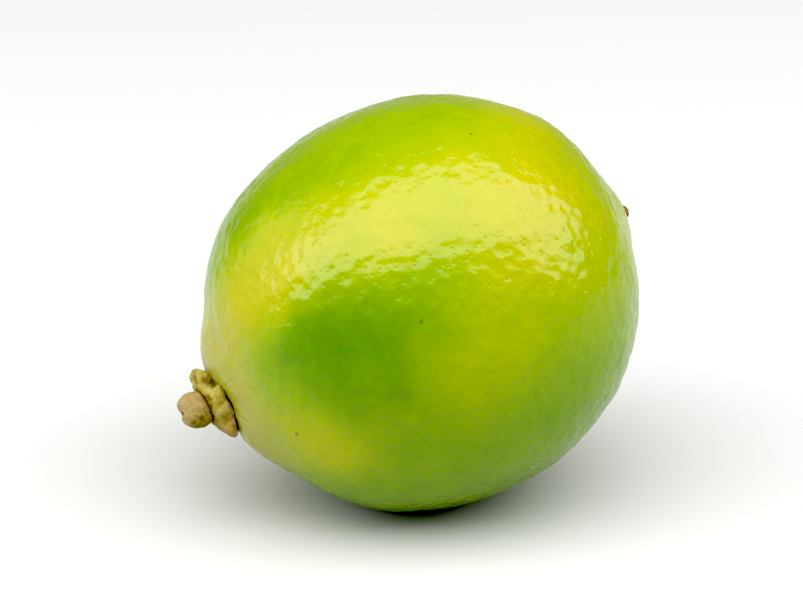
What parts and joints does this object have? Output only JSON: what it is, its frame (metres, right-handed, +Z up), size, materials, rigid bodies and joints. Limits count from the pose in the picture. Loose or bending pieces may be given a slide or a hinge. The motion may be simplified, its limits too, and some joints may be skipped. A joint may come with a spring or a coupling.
{
  "type": "lemon",
  "caption": "Whole, unripe-looking lemon lying on its side, with the fleshy calyx and a short stub of stem at one end and a low nipple at the other.",
  "frame": {"origin": "on the resting surface, under the middle of the lemon's box", "axes": "+Z up; +X along the fruit's core seen from above, towards the blossom end, which rests 21.5 degrees higher than the stem end; +Y across the fruit"},
  "size_m": [0.062, 0.0532, 0.0545],
  "materials": {
    "skin": "waxy citrus peel, green going over to yellow, pitted with oil glands",
    "calyx": "fleshy olive green, drying to tan at its edges",
    "stem": "fresh cut twig, olive below and pinkish tan at the cut"
  },
  "bodies": {
    "root": {"fruit": "skin", "calyx": "calyx", "stem_stub": "stem"}
  },
  "joints": []
}
